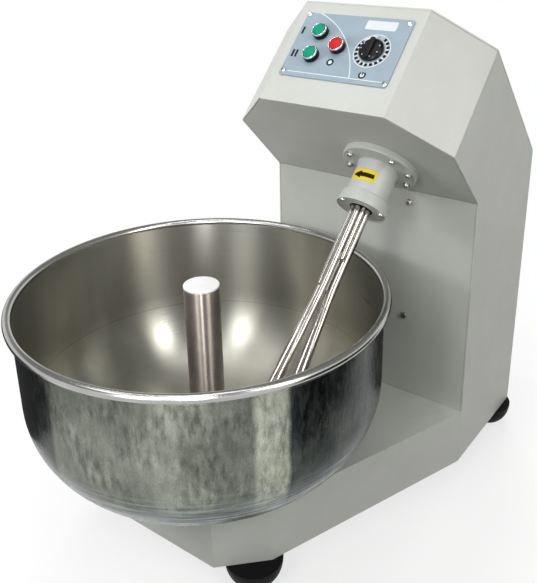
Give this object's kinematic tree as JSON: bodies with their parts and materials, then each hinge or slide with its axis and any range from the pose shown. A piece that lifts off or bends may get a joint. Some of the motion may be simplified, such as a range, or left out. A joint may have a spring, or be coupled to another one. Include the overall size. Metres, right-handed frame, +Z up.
{
  "type": "dough mixer",
  "caption": "Floor-standing dough mixer with a fixed turning bowl round a centre post, an inclined agitator of gathered whisk loops and a sloping control head.",
  "frame": {"origin": "on the floor, at the middle of the footprint box, which runs from the bowl's rim to the rear right foot", "axes": "+Z up, -Y towards the user in front of the bowl, +X to the user's right"},
  "size_m": [0.655, 0.9252, 0.8967],
  "materials": {
    "body_paint": "light warm grey powder coat with a fine grain",
    "cast_paint": "light grey enamel on a casting",
    "bowl_stainless": "spun and brushed round the axis",
    "tool_stainless": "polished bar",
    "plated_steel": "turned and zinc plated",
    "gearbox_iron": "cast, machined on its faces",
    "motor_paint": "blue grey machine enamel",
    "motor_trim": "dark grey enamel",
    "panel_aluminium": "satin anodised plate",
    "start_green": "moulded",
    "stop_red": "moulded",
    "black_plastic": "moulded, fine grain",
    "contact_plastic": "moulded",
    "foot_rubber": "moulded, matt",
    "belt_rubber": "ribbed, matt"
  },
  "bodies": {
    "frame": {"base_shell": "body_paint", "bottom_plate": "plated_steel", "left_side_panel": "body_paint", "right_side_panel": "body_paint", "column_front_panel": "body_paint", "rear_cover": "body_paint", "foot_front_left": "foot_rubber", "foot_front_right": "foot_rubber", "foot_rear_left": "foot_rubber", "foot_rear_right": "foot_rubber", "foot_stud_front_left": "plated_steel", "foot_stud_front_right": "plated_steel", "foot_stud_rear_left": "plated_steel", "foot_stud_rear_right": "plated_steel", "head_underside_panel": "body_paint", "control_face_shell": "body_paint", "top_cover": "body_paint", "control_panel": "panel_aluminium", "start_one_bezel": "black_plastic", "start_one_contact_block": "contact_plastic", "start_two_bezel": "black_plastic", "start_two_contact_block": "contact_plastic", "stop_bezel": "black_plastic", "stop_contact_block": "contact_plastic", "timer_body": "contact_plastic", "bearing_housing": "cast_paint", "seal_collar": "cast_paint", "lower_tool_bearing": "plated_steel", "upper_tool_bearing": "plated_steel", "tool_gearbox": "gearbox_iron", "motor_gearhead": "motor_paint", "motor_body": "motor_paint", "motor_fan_cover": "motor_trim", "motor_terminal_box": "motor_trim", "tool_belt": "belt_rubber", "bowl_belt": "belt_rubber", "bowl_gearbox": "gearbox_iron", "bowl_bearing_housing": "gearbox_iron", "bowl_bearing": "plated_steel"},
    "bowl": {"bowl_shell": "bowl_stainless", "bowl_carrier": "plated_steel", "centre_pin_boss": "bowl_stainless", "centre_pin": "bowl_stainless"},
    "agitator": {"agitator_shaft": "tool_stainless", "outer_whisk_loop": "tool_stainless", "inner_whisk_loop": "tool_stainless", "stub_bar_1": "tool_stainless", "stub_bar_2": "tool_stainless", "stub_bar_3": "tool_stainless", "stub_bar_4": "tool_stainless"},
    "motor_drive": {"motor_shaft": "plated_steel", "motor_pulley": "gearbox_iron"},
    "tool_drive": {"tool_input_shaft": "plated_steel", "tool_pulley": "gearbox_iron"},
    "bowl_drive": {"bowl_input_shaft": "plated_steel", "bowl_pulley": "gearbox_iron"},
    "start_one": {"start_one_button": "start_green"},
    "start_two": {"start_two_button": "start_green"},
    "stop": {"stop_button": "stop_red"},
    "timer": {"timer_knob": "black_plastic"}
  },
  "joints": [
    {"name": "bowl_spin", "type": "hinge", "parent": "frame", "child": "bowl", "pos_m": [-0.01645, -0.1512, 0], "axis": [0, 0, -1], "continuous": true},
    {"name": "agitator_spin", "type": "hinge", "parent": "frame", "child": "agitator", "pos_m": [0.15955, 0.12482, 0.63998], "axis": [0, -0.7071, -0.7071], "continuous": true},
    {"name": "motor_pulley_spin", "type": "hinge", "parent": "frame", "child": "motor_drive", "pos_m": [0, 0.3188, 0.112], "axis": [1, 0, 0], "continuous": true},
    {"name": "tool_drive_spin", "type": "hinge", "parent": "frame", "child": "tool_drive", "pos_m": [0, 0.22523, 0.74039], "axis": [1, 0, 0], "continuous": true},
    {"name": "bowl_drive_spin", "type": "hinge", "parent": "frame", "child": "bowl_drive", "pos_m": [0, -0.1012, 0.085], "axis": [1, 0, 0], "continuous": true},
    {"name": "start_one_press", "type": "slide", "parent": "frame", "child": "start_one", "axis": [0, 0.7071, -0.7071], "range_m": [0, 0.0035], "stiffness_N_per_m": 300, "springref_m": -0.003},
    {"name": "start_two_press", "type": "slide", "parent": "frame", "child": "start_two", "axis": [0, 0.7071, -0.7071], "range_m": [0, 0.0035], "stiffness_N_per_m": 300, "springref_m": -0.003},
    {"name": "stop_press", "type": "slide", "parent": "frame", "child": "stop", "axis": [0, 0.7071, -0.7071], "range_m": [0, 0.0035], "stiffness_N_per_m": 300, "springref_m": -0.003},
    {"name": "timer_turn", "type": "hinge", "parent": "frame", "child": "timer", "pos_m": [0.15305, 0.09476, 0.83196], "axis": [0, 0.7071, -0.7071], "range_deg": [0, 330]}
  ],
  "couplings": [
    {"joint": "motor_pulley_spin", "follows": "bowl_spin", "ratio": 10},
    {"joint": "bowl_drive_spin", "follows": "bowl_spin", "ratio": 10},
    {"joint": "tool_drive_spin", "follows": "bowl_spin", "ratio": 7.4725},
    {"joint": "agitator_spin", "follows": "bowl_spin", "ratio": 7.4725}
  ]
}
